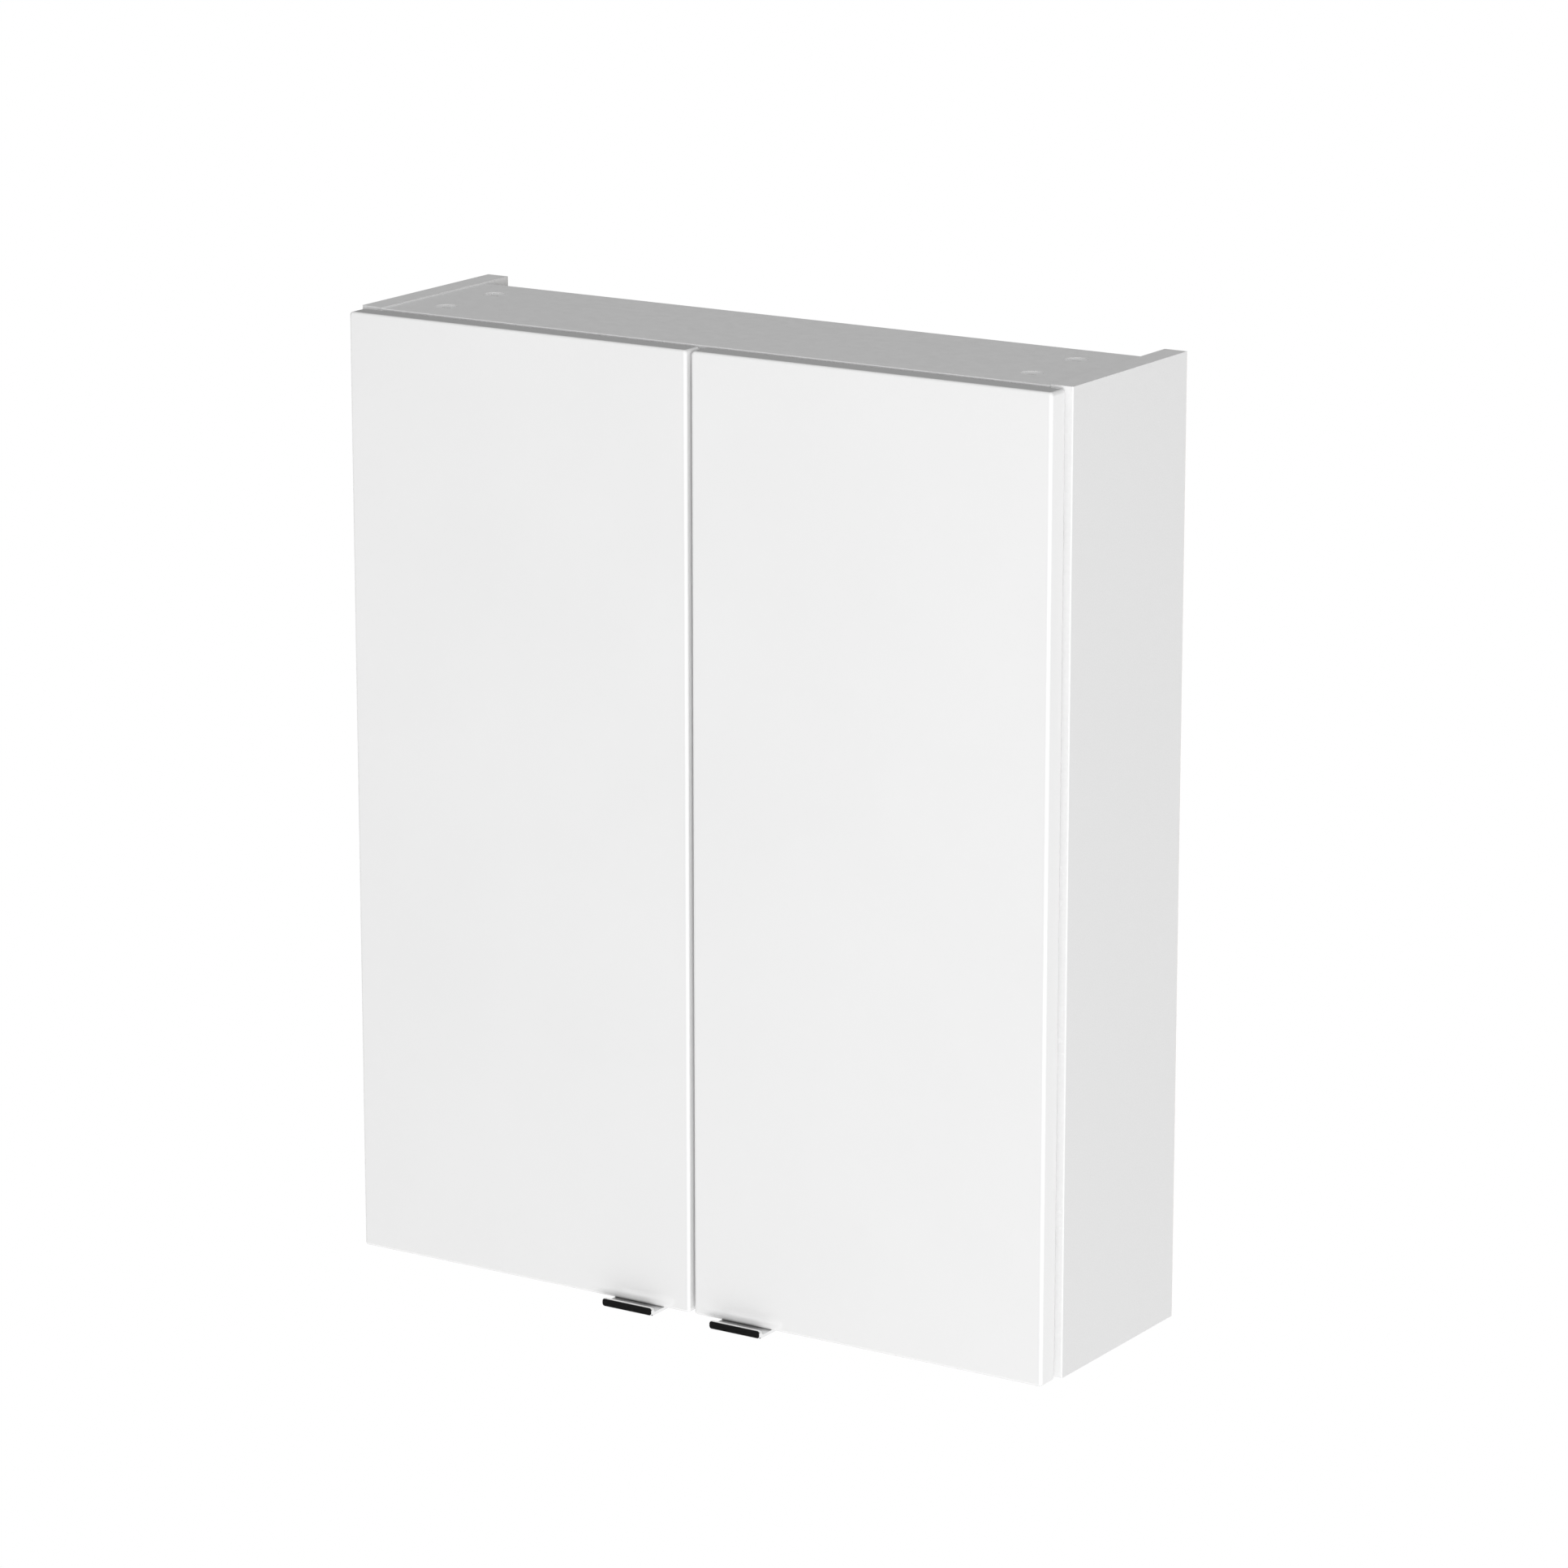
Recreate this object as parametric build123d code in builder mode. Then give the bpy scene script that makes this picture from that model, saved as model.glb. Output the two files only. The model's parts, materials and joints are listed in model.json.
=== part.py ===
"""Hanging wall cabinet: two-door wall unit hung on a pair of steel wall plates.

Millimetres.  X runs to the right, the doors face -Y, Z is up and the wall is the
plane Y = 0.  The origin is the centre of the four wall-plate screw holes.
"""
import os

from build123d import *

os.makedirs("parts", exist_ok=True)

# Carcass
WIDTH = 600.0
HEIGHT = 715.0
CARCASS_DEPTH = 160.0
BOARD = 18.0
BAND = 1.0
BAND_RADIUS = 0.6
SERVICE_VOID = 31.0
TOP_SET_DOWN = 0.8
FIXING_DROP = 78.0

TOP = FIXING_DROP
BOTTOM = TOP - HEIGHT
OUTER_X = WIDTH / 2
INNER_X = OUTER_X - BOARD
FRONT_Y = -CARCASS_DEPTH
TOP_FACE = TOP - TOP_SET_DOWN
BASE_FACE = BOTTOM + TOP_SET_DOWN
CEILING = TOP_FACE - BOARD
FLOOR = BASE_FACE + BOARD

# Back panel in its grooves
BACK_THICKNESS = 3.0
BACK_FRONT_Y = -38.0
BACK_REAR_Y = BACK_FRONT_Y + BACK_THICKNESS
GROOVE_DEPTH = 6.0
GROOVE_PLAY = 0.1
BACK_ENTRY = 5.5

# Cam fittings and dowels between the sides and the top and bottom panels
CAM_X = 248.0
CAM_YS = (-127.0, -65.5)
CAM_RADIUS = 7.5
CAM_RIM_RADIUS = 8.6
CAM_RIM = 0.8
CAM_SET_DOWN = 1.0
CAM_SLOT = (7.0, 1.8, 1.2)
CAM_DEPTH = 13.0
CAM_BOLT_BORE = 4.0
BOLT_THREAD_RADIUS = 2.5
BOLT_THREAD_LENGTH = 11.0
DOWEL_YS = (-146.0, -49.0)
DOWEL_RADIUS = 4.0
DOWEL_IN_SIDE = 12.0
DOWEL_IN_PANEL = 18.0

# Shelves and their pins
SHELF_HALF_WIDTH = INNER_X - 1.0
SHELF_FRONT_Y = -150.0
SHELF_REAR_Y = -39.0
PIN_YS = (-123.0, -59.0)
PIN_PITCH = 32.0
PIN_ROWS = 13
PIN_RADIUS = 2.5
PIN_HOLE_DEPTH = 10.0
PIN_COLLAR_RADIUS = 3.8
PIN_COLLAR = 0.8
PIN_PEG = 8.0
PIN_ROW_START = BOTTOM + (HEIGHT - (PIN_ROWS - 1) * PIN_PITCH) / 2
SHELF_LOWER_PIN_Z = PIN_ROW_START + 2 * PIN_PITCH
SHELF_UPPER_PIN_Z = PIN_ROW_START + 9 * PIN_PITCH

# Doors
DOOR_THICKNESS = 18.0
DOOR_GAP = 4.0
DOOR_OUTER_X = 296.0
DOOR_INNER_X = 2.0
DOOR_REAR_Y = FRONT_Y - DOOR_GAP
DOOR_FRONT_Y = DOOR_REAR_Y - DOOR_THICKNESS
DOOR_DROP = 1.2
DOOR_BOTTOM = BOTTOM - DOOR_DROP
DOOR_TOP = TOP - DOOR_DROP
DOOR_CORNER = 2.6
DOOR_ROUND = 2.3
DOOR_REAR_ROUND = 0.6

# Edge-mounted pulls under the doors
PULL_CENTRE_X = 47.0
PULL_WIDTH = 43.9
PULL_FRONT_Y = DOOR_FRONT_Y - 15.4
PULL_LIP = 2.8
PULL_PLATE = 2.2
PULL_LIP_BOTTOM = DOOR_BOTTOM - PULL_PLATE
PULL_LIP_TOP = DOOR_BOTTOM + 3.9
PULL_REAR_Y = DOOR_REAR_Y - 1.0
PULL_CORNER = 2.3
PULL_END = 0.5
PULL_TROUGH = 3.2
PULL_INSET = 0.3
PULL_SCREW_X = 15.0
PULL_SCREW_Y = DOOR_REAR_Y - 9.0
PULL_SCREW_RADIUS = 1.5
PULL_SCREW_HEAD = 2.9
PULL_SCREW_LENGTH = 16.0

# Single-pivot concealed hinges
HINGE_ZS = (BOTTOM + 100.0, TOP - 100.0)
PIVOT_X = 288.0
PIVOT_Y = -172.0
PIVOT_PIN_RADIUS = 1.1
PIVOT_BORE_RADIUS = 1.16
PIVOT_PIN_LENGTH = 15.0
CUP_X = 274.5
CUP_BORE_RADIUS = 17.5
CUP_BORE_DEPTH = 12.5
CUP_RADIUS = 17.4
CUP_DEPTH = 12.2
CUP_WALL = 0.8
CUP_FLANGE = 1.2
CUP_FLANGE_RADIUS = 18.7
CUP_SCREW_X = 268.5
CUP_SCREW_Z = 24.0
CUP_SCREW_RADIUS = 1.6
CUP_SCREW_HEAD = 3.2
CUP_SCREW_LENGTH = 12.0
PLATE_Y = FRONT_Y + 37.0
PLATE_SCREW_Z = 16.0
PLATE_SCREW_RADIUS = 2.5
PLATE_SCREW_HEAD = 4.2
ARM_HALF_WIDTH = 8.0
ARM_SHEET = 1.4
NECK_HALF_WIDTH = 4.5
EYE_RADIUS = 2.0
ARM_SCREW_YS = (PLATE_Y + 12.0, PLATE_Y - 12.0)
ARM_SCREW_RADIUS = 2.0
ARM_SCREW_HEAD = 3.6

# Door bumpers
BUMPER_X = 14.0
BUMPER_ZS = (BOTTOM + 9.0, TOP - 9.0)
BUMPER_RADIUS = 4.5
BUMPER_HEIGHT = 3.7

# Hangers and wall plates
HANGER_X = (258.0, INNER_X)
HANGER_Y = (-33.0, -9.0)
HANGER_Z = (-16.0, 46.0)
HANGER_PEG_RADIUS = 5.0
HANGER_PEG_LENGTH = 11.0
HANGER_PEG_Y = -24.0
HANGER_PEG_ZS = (-4.0, 28.0)
ADJUSTER_X = 264.5
ADJUSTER_ZS = (-2.0, 26.0)
ADJUSTER_RADIUS = 4.0
HOOK_X = (269.5, 275.5)
HOOK_TIP_BOTTOM = 29.0
ACCESS_X = (256.5, 272.5)
ACCESS_Z = (-10.0, 34.0)
WALL_PLATE_X = (236.0, 279.0)
WALL_PLATE_SHEET = 2.0
WALL_PLATE_BOTTOM = -22.0
WALL_PLATE_TOP = 38.0
WALL_PLATE_STEP = 4.6
WALL_SCREW_X = 250.0
WALL_SCREW_Z = 10.0
WALL_SCREW_HOLE = 3.0


def block(x, y, z, mode=Mode.ADD):
    """Box between two limits on each axis."""
    with Locations(((x[0] + x[1]) / 2, (y[0] + y[1]) / 2, (z[0] + z[1]) / 2)):
        Box(x[1] - x[0], y[1] - y[0], z[1] - z[0], mode=mode)


def rod(start, direction, radius, length, mode=Mode.ADD):
    """Cylinder that starts at a point and runs along a direction."""
    with Locations(Plane(origin=start, z_dir=direction)):
        Cylinder(radius, length, align=(Align.CENTER, Align.CENTER, Align.MIN), mode=mode)


def cone(start, direction, radius, end_radius, length, mode=Mode.ADD):
    """Cone frustum that starts at a point and runs along a direction."""
    with Locations(Plane(origin=start, z_dir=direction)):
        Cone(radius, end_radius, length, align=(Align.CENTER, Align.CENTER, Align.MIN), mode=mode)


def cross_recess(face_point, direction, arm, width, depth):
    """Cross-shaped driver recess cut into a screw head."""
    with Locations(Plane(origin=face_point, z_dir=direction)):
        Box(arm, width, depth, align=(Align.CENTER, Align.CENTER, Align.MIN), mode=Mode.SUBTRACT)
        Box(width, arm, depth, align=(Align.CENTER, Align.CENTER, Align.MIN), mode=Mode.SUBTRACT)


# Carcass boards -----------------------------------------------------------------

PANEL_LEVELS = (TOP_FACE - BOARD / 2, BASE_FACE + BOARD / 2)

with BuildPart() as side_panel_right:
    block((INNER_X, OUTER_X), (FRONT_Y + BAND, 0), (BOTTOM, TOP))
    block(
        (INNER_X, INNER_X + GROOVE_DEPTH),
        (BACK_FRONT_Y - GROOVE_PLAY, BACK_REAR_Y + GROOVE_PLAY),
        (FLOOR - GROOVE_DEPTH, CEILING + GROOVE_DEPTH),
        mode=Mode.SUBTRACT,
    )
    for level in PANEL_LEVELS:
        for y in CAM_YS:
            rod((INNER_X, y, level), (1, 0, 0), BOLT_THREAD_RADIUS, BOLT_THREAD_LENGTH, Mode.SUBTRACT)
        for y in DOWEL_YS:
            rod((INNER_X, y, level), (1, 0, 0), DOWEL_RADIUS, DOWEL_IN_SIDE, Mode.SUBTRACT)
    for row in range(PIN_ROWS):
        for y in PIN_YS:
            start = (INNER_X, y, PIN_ROW_START + row * PIN_PITCH)
            rod(start, (1, 0, 0), PIN_RADIUS, PIN_HOLE_DEPTH, Mode.SUBTRACT)
    for hinge_z in HINGE_ZS:
        for offset in (-PLATE_SCREW_Z, PLATE_SCREW_Z):
            start = (INNER_X, PLATE_Y, hinge_z + offset)
            rod(start, (1, 0, 0), PLATE_SCREW_RADIUS, BOLT_THREAD_LENGTH, Mode.SUBTRACT)
    for z in HANGER_PEG_ZS:
        rod((INNER_X, HANGER_PEG_Y, z), (1, 0, 0), HANGER_PEG_RADIUS, HANGER_PEG_LENGTH, Mode.SUBTRACT)
side_panel_right.part.label = "side_panel_right"
export_step(side_panel_right.part, "parts/side_panel_right.step")

with BuildPart() as side_panel_left:
    mirror(side_panel_right.part, about=Plane.YZ)
side_panel_left.part.label = "side_panel_left"
export_step(side_panel_left.part, "parts/side_panel_left.step")

with BuildPart() as top_panel:
    block((-INNER_X, INNER_X), (FRONT_Y + BAND, -SERVICE_VOID), (CEILING, TOP_FACE))
    block(
        (-INNER_X, INNER_X),
        (BACK_FRONT_Y - GROOVE_PLAY, BACK_REAR_Y + GROOVE_PLAY),
        (CEILING, CEILING + GROOVE_DEPTH),
        mode=Mode.SUBTRACT,
    )
    for side in (-1, 1):
        inward = (-side, 0, 0)
        for y in CAM_YS:
            mouth = (side * CAM_X, y, TOP_FACE)
            rod(mouth, (0, 0, -1), CAM_RADIUS, CAM_DEPTH, Mode.SUBTRACT)
            rod(mouth, (0, 0, -1), CAM_RIM_RADIUS, CAM_SET_DOWN + CAM_RIM, Mode.SUBTRACT)
            start = (side * INNER_X, y, PANEL_LEVELS[0])
            rod(start, inward, CAM_BOLT_BORE, INNER_X - CAM_X, Mode.SUBTRACT)
        for y in DOWEL_YS:
            start = (side * INNER_X, y, PANEL_LEVELS[0])
            rod(start, inward, DOWEL_RADIUS, DOWEL_IN_PANEL, Mode.SUBTRACT)
top_panel.part.label = "top_panel"
export_step(top_panel.part, "parts/top_panel.step")

MIDDLE_PLANE = Plane.XY.offset((TOP + BOTTOM) / 2)

with BuildPart() as bottom_panel:
    mirror(top_panel.part, about=MIDDLE_PLANE)
bottom_panel.part.label = "bottom_panel"
export_step(bottom_panel.part, "parts/bottom_panel.step")

with BuildPart() as back_panel:
    block(
        (-INNER_X - BACK_ENTRY, INNER_X + BACK_ENTRY),
        (BACK_FRONT_Y, BACK_REAR_Y),
        (FLOOR - BACK_ENTRY, CEILING + BACK_ENTRY),
    )
    block(ACCESS_X, (BACK_FRONT_Y, BACK_REAR_Y), ACCESS_Z, mode=Mode.SUBTRACT)
    block((-ACCESS_X[1], -ACCESS_X[0]), (BACK_FRONT_Y, BACK_REAR_Y), ACCESS_Z, mode=Mode.SUBTRACT)
back_panel.part.label = "back_panel"
export_step(back_panel.part, "parts/back_panel.step")

# Edge bands ---------------------------------------------------------------------

with BuildPart() as edge_band_right:
    block((INNER_X, OUTER_X), (FRONT_Y, FRONT_Y + BAND), (BOTTOM, TOP))
    fillet(edge_band_right.edges().filter_by(Axis.Z).sort_by(Axis.Y)[:2], BAND_RADIUS)
edge_band_right.part.label = "edge_band_right"
export_step(edge_band_right.part, "parts/edge_band_right.step")

with BuildPart() as edge_band_left:
    mirror(edge_band_right.part, about=Plane.YZ)
edge_band_left.part.label = "edge_band_left"
export_step(edge_band_left.part, "parts/edge_band_left.step")

with BuildPart() as edge_band_top:
    block((-INNER_X, INNER_X), (FRONT_Y, FRONT_Y + BAND), (CEILING, TOP_FACE))
    fillet(edge_band_top.edges().filter_by(Axis.X).sort_by(Axis.Y)[:2], BAND_RADIUS)
edge_band_top.part.label = "edge_band_top"
export_step(edge_band_top.part, "parts/edge_band_top.step")

with BuildPart() as edge_band_bottom:
    mirror(edge_band_top.part, about=MIDDLE_PLANE)
edge_band_bottom.part.label = "edge_band_bottom"
export_step(edge_band_bottom.part, "parts/edge_band_bottom.step")

# Cam fittings and dowels --------------------------------------------------------

with BuildPart() as cam_locks:
    for side in (-1, 1):
        for face, down in ((TOP_FACE, -1), (BASE_FACE, 1)):
            for y in CAM_YS:
                centre = (side * CAM_X, y, face + down * CAM_SET_DOWN)
                rod(centre, (0, 0, down), CAM_RADIUS, CAM_DEPTH - CAM_SET_DOWN - 0.3)
                rod(centre, (0, 0, down), CAM_RIM_RADIUS, CAM_RIM)
                pocket = sorted((side * (CAM_X - 4.2), side * (CAM_X + 9.0)))
                depths = sorted((face + down * 4.8, face + down * CAM_DEPTH))
                block(pocket, (y - 3.9, y + 3.9), depths, mode=Mode.SUBTRACT)
                with Locations(Plane(origin=centre, x_dir=(1, 0, 0), z_dir=(0, 0, down))):
                    Box(*CAM_SLOT, align=(Align.CENTER, Align.CENTER, Align.MIN), mode=Mode.SUBTRACT)
cam_locks.part.label = "cam_locks"
export_step(cam_locks.part, "parts/cam_locks.step")

with BuildPart() as cam_bolts:
    for side in (-1, 1):
        for level in PANEL_LEVELS:
            for y in CAM_YS:
                root = (side * INNER_X, y, level)
                rod(root, (side, 0, 0), BOLT_THREAD_RADIUS, BOLT_THREAD_LENGTH)
                rod(root, (-side, 0, 0), 3.4, 25.0)
                rod((side * (INNER_X - 25.0), y, level), (-side, 0, 0), 2.0, 7.0)
                rod((side * (CAM_X + 2.0), y, level), (-side, 0, 0), 3.3, 4.0)
cam_bolts.part.label = "cam_bolts"
export_step(cam_bolts.part, "parts/cam_bolts.step")

with BuildPart() as wooden_dowels:
    for side in (-1, 1):
        for level in PANEL_LEVELS:
            for y in DOWEL_YS:
                start = (side * (INNER_X + DOWEL_IN_SIDE - 0.5), y, level)
                rod(start, (-side, 0, 0), DOWEL_RADIUS, DOWEL_IN_SIDE + DOWEL_IN_PANEL - 1.0)
    chamfer(wooden_dowels.edges().filter_by(GeomType.CIRCLE), 0.8)
wooden_dowels.part.label = "wooden_dowels"
export_step(wooden_dowels.part, "parts/wooden_dowels.step")

# Shelves ------------------------------------------------------------------------

with BuildPart() as shelf_lower:
    block(
        (-SHELF_HALF_WIDTH, SHELF_HALF_WIDTH),
        (SHELF_FRONT_Y + BAND, SHELF_REAR_Y),
        (SHELF_LOWER_PIN_Z + PIN_RADIUS, SHELF_LOWER_PIN_Z + PIN_RADIUS + BOARD),
    )
shelf_lower.part.label = "shelf_lower"
export_step(shelf_lower.part, "parts/shelf_lower.step")

with BuildPart() as shelf_band_lower:
    block(
        (-SHELF_HALF_WIDTH, SHELF_HALF_WIDTH),
        (SHELF_FRONT_Y, SHELF_FRONT_Y + BAND),
        (SHELF_LOWER_PIN_Z + PIN_RADIUS, SHELF_LOWER_PIN_Z + PIN_RADIUS + BOARD),
    )
    fillet(shelf_band_lower.edges().filter_by(Axis.X).sort_by(Axis.Y)[:2], BAND_RADIUS)
shelf_band_lower.part.label = "shelf_band_lower"
export_step(shelf_band_lower.part, "parts/shelf_band_lower.step")

SHELF_STEP = (0, 0, SHELF_UPPER_PIN_Z - SHELF_LOWER_PIN_Z)

with BuildPart() as shelf_upper:
    with Locations(SHELF_STEP):
        add(shelf_lower.part)
shelf_upper.part.label = "shelf_upper"
export_step(shelf_upper.part, "parts/shelf_upper.step")

with BuildPart() as shelf_band_upper:
    with Locations(SHELF_STEP):
        add(shelf_band_lower.part)
shelf_band_upper.part.label = "shelf_band_upper"
export_step(shelf_band_upper.part, "parts/shelf_band_upper.step")

with BuildPart() as shelf_pins:
    for side in (-1, 1):
        for z in (SHELF_LOWER_PIN_Z, SHELF_UPPER_PIN_Z):
            for y in PIN_YS:
                start = (side * INNER_X, y, z)
                rod(start, (side, 0, 0), PIN_RADIUS, PIN_HOLE_DEPTH - 0.5)
                rod(start, (-side, 0, 0), PIN_COLLAR_RADIUS, PIN_COLLAR)
                rod(start, (-side, 0, 0), PIN_RADIUS, PIN_PEG)
shelf_pins.part.label = "shelf_pins"
export_step(shelf_pins.part, "parts/shelf_pins.step")

# Hangers and wall plates --------------------------------------------------------

with BuildPart() as hanger_body_right:
    block(HANGER_X, HANGER_Y, HANGER_Z)
    fillet(hanger_body_right.edges().filter_by(Axis.Y).sort_by(Axis.X)[:2], 3.0)
    block(
        (HOOK_X[0] - 0.3, HOOK_X[1] + 0.3),
        (-22.0, HANGER_Y[1]),
        (18.0, HANGER_Z[1]),
        mode=Mode.SUBTRACT,
    )
    for z in ADJUSTER_ZS:
        rod((ADJUSTER_X, HANGER_Y[0], z), (0, 1, 0), ADJUSTER_RADIUS, 9.0, Mode.SUBTRACT)
    for z in HANGER_PEG_ZS:
        rod((INNER_X, HANGER_PEG_Y, z), (1, 0, 0), HANGER_PEG_RADIUS, HANGER_PEG_LENGTH)
hanger_body_right.part.label = "hanger_body_right"
export_step(hanger_body_right.part, "parts/hanger_body_right.step")

with BuildPart() as hanger_body_left:
    mirror(hanger_body_right.part, about=Plane.YZ)
hanger_body_left.part.label = "hanger_body_left"
export_step(hanger_body_left.part, "parts/hanger_body_left.step")

HOOK_OUTLINE = (
    (-21.6, 20.0),
    (-15.6, 20.0),
    (-15.6, WALL_PLATE_TOP),
    (-3.9, WALL_PLATE_TOP),
    (-3.9, HOOK_TIP_BOTTOM),
    (-1.4, HOOK_TIP_BOTTOM),
    (-1.4, WALL_PLATE_TOP + 5.0),
    (-21.6, WALL_PLATE_TOP + 5.0),
)

with BuildPart() as hanger_hook_right:
    with BuildSketch(Plane.YZ.offset(HOOK_X[0])):
        Polygon(*HOOK_OUTLINE, align=None)
    extrude(amount=HOOK_X[1] - HOOK_X[0])
    fillet(hanger_hook_right.edges().filter_by(Axis.X).sort_by(Axis.Y)[-1], 1.0)
hanger_hook_right.part.label = "hanger_hook_right"
export_step(hanger_hook_right.part, "parts/hanger_hook_right.step")

with BuildPart() as hanger_hook_left:
    mirror(hanger_hook_right.part, about=Plane.YZ)
hanger_hook_left.part.label = "hanger_hook_left"
export_step(hanger_hook_left.part, "parts/hanger_hook_left.step")

with BuildPart() as hanger_adjusters:
    for side in (-1, 1):
        for z in ADJUSTER_ZS:
            face = (side * ADJUSTER_X, HANGER_Y[0] - 1.5, z)
            rod(face, (0, 1, 0), ADJUSTER_RADIUS, 10.0)
            cross_recess(face, (0, 1, 0), 5.6, 1.2, 2.5)
hanger_adjusters.part.label = "hanger_adjusters"
export_step(hanger_adjusters.part, "parts/hanger_adjusters.step")

with BuildPart() as hanger_cover_right:
    block(
        (ACCESS_X[0] - 4.0, ACCESS_X[1] + 4.0),
        (BACK_FRONT_Y - 2.4, BACK_FRONT_Y),
        (ACCESS_Z[0] - 4.0, ACCESS_Z[1] + 4.0),
    )
    fillet(hanger_cover_right.edges().filter_by(Axis.Y), 3.0)
    fillet(hanger_cover_right.faces().sort_by(Axis.Y)[0].edges(), 1.0)
    for x in (ACCESS_X[0] + 0.2, ACCESS_X[1] - 1.4):
        block((x, x + 1.2), (BACK_FRONT_Y, BACK_REAR_Y), (ACCESS_Z[0] + 8.0, ACCESS_Z[1] - 8.0))
hanger_cover_right.part.label = "hanger_cover_right"
export_step(hanger_cover_right.part, "parts/hanger_cover_right.step")

with BuildPart() as hanger_cover_left:
    mirror(hanger_cover_right.part, about=Plane.YZ)
hanger_cover_left.part.label = "hanger_cover_left"
export_step(hanger_cover_left.part, "parts/hanger_cover_left.step")

WALL_PLATE_OUTLINE = (
    (0.0, WALL_PLATE_BOTTOM),
    (0.0, 19.0),
    (-WALL_PLATE_STEP, 25.0),
    (-WALL_PLATE_STEP, WALL_PLATE_TOP),
    (-WALL_PLATE_STEP - WALL_PLATE_SHEET, WALL_PLATE_TOP),
    (-WALL_PLATE_STEP - WALL_PLATE_SHEET, 24.2),
    (-WALL_PLATE_SHEET, 18.2),
    (-WALL_PLATE_SHEET, WALL_PLATE_BOTTOM),
)

with BuildPart() as wall_plate_right:
    with BuildSketch(Plane.YZ.offset(WALL_PLATE_X[0])):
        Polygon(*WALL_PLATE_OUTLINE, align=None)
    extrude(amount=WALL_PLATE_X[1] - WALL_PLATE_X[0])
    fillet(wall_plate_right.edges().filter_by(Axis.Y), 3.0)
    for z in (-WALL_SCREW_Z, WALL_SCREW_Z):
        rod((WALL_SCREW_X, 0, z), (0, -1, 0), WALL_SCREW_HOLE, WALL_PLATE_SHEET, Mode.SUBTRACT)
wall_plate_right.part.label = "wall_plate_right"
export_step(wall_plate_right.part, "parts/wall_plate_right.step")

with BuildPart() as wall_plate_left:
    mirror(wall_plate_right.part, about=Plane.YZ)
wall_plate_left.part.label = "wall_plate_left"
export_step(wall_plate_left.part, "parts/wall_plate_left.step")

# Hinge pieces fixed to the sides ------------------------------------------------

PLATE_RAIL = 6.0
PLATE_WING = 2.4
ARM_TOP = 10.0
ARM_REAR_Y = PLATE_Y + 25.0
ARM_FRONT_Y = FRONT_Y + 3.0

with BuildPart() as hinge_plates:
    for side in (-1, 1):
        for hinge_z in HINGE_ZS:
            wing_x = sorted((side * INNER_X, side * (INNER_X - PLATE_WING)))
            rail_x = sorted((side * INNER_X, side * (INNER_X - PLATE_RAIL)))
            block(wing_x, (PLATE_Y - 7.0, PLATE_Y + 7.0), (hinge_z - 22.0, hinge_z + 22.0))
            block(rail_x, (PLATE_Y - 20.0, PLATE_Y + 22.0), (hinge_z - 6.0, hinge_z + 6.0))
            for offset in (-PLATE_SCREW_Z, PLATE_SCREW_Z):
                start = (side * INNER_X, PLATE_Y, hinge_z + offset)
                rod(start, (-side, 0, 0), PLATE_SCREW_RADIUS, PLATE_WING, Mode.SUBTRACT)
            for y in ARM_SCREW_YS:
                start = (side * (INNER_X - 1.0), y, hinge_z)
                rod(start, (-side, 0, 0), ARM_SCREW_RADIUS, PLATE_RAIL, Mode.SUBTRACT)
hinge_plates.part.label = "hinge_plates"
export_step(hinge_plates.part, "parts/hinge_plates.step")

with BuildPart() as plate_screws:
    for side in (-1, 1):
        for hinge_z in HINGE_ZS:
            for offset in (-PLATE_SCREW_Z, PLATE_SCREW_Z):
                seat = (side * (INNER_X - PLATE_WING), PLATE_Y, hinge_z + offset)
                crown = (side * (INNER_X - PLATE_WING - 1.8), PLATE_Y, hinge_z + offset)
                rod(seat, (side, 0, 0), PLATE_SCREW_RADIUS, PLATE_WING + BOLT_THREAD_LENGTH)
                cone(seat, (-side, 0, 0), PLATE_SCREW_HEAD, 3.2, 1.8)
                cross_recess(crown, (side, 0, 0), 4.4, 1.1, 1.4)
plate_screws.part.label = "plate_screws"
export_step(plate_screws.part, "parts/plate_screws.step")


def carcass_point(inward, forward):
    """Plan point given inwards from the side's inner face and forwards of its front."""
    return (INNER_X - inward, FRONT_Y - forward)


NECK_OUTLINE = (
    carcass_point(ARM_TOP, -9.0),
    carcass_point(ARM_TOP, 1.0),
    carcass_point(8.0, 4.0),
    carcass_point(8.0, 12.0),
    carcass_point(6.5, 13.5),
    carcass_point(-6.0, 13.5),
    carcass_point(-6.0, 10.5),
    carcass_point(3.8, 10.5),
    carcass_point(5.0, 9.3),
    carcass_point(5.0, 0.5),
    carcass_point(6.2, -3.0),
    carcass_point(6.2, -9.0),
)

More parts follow.
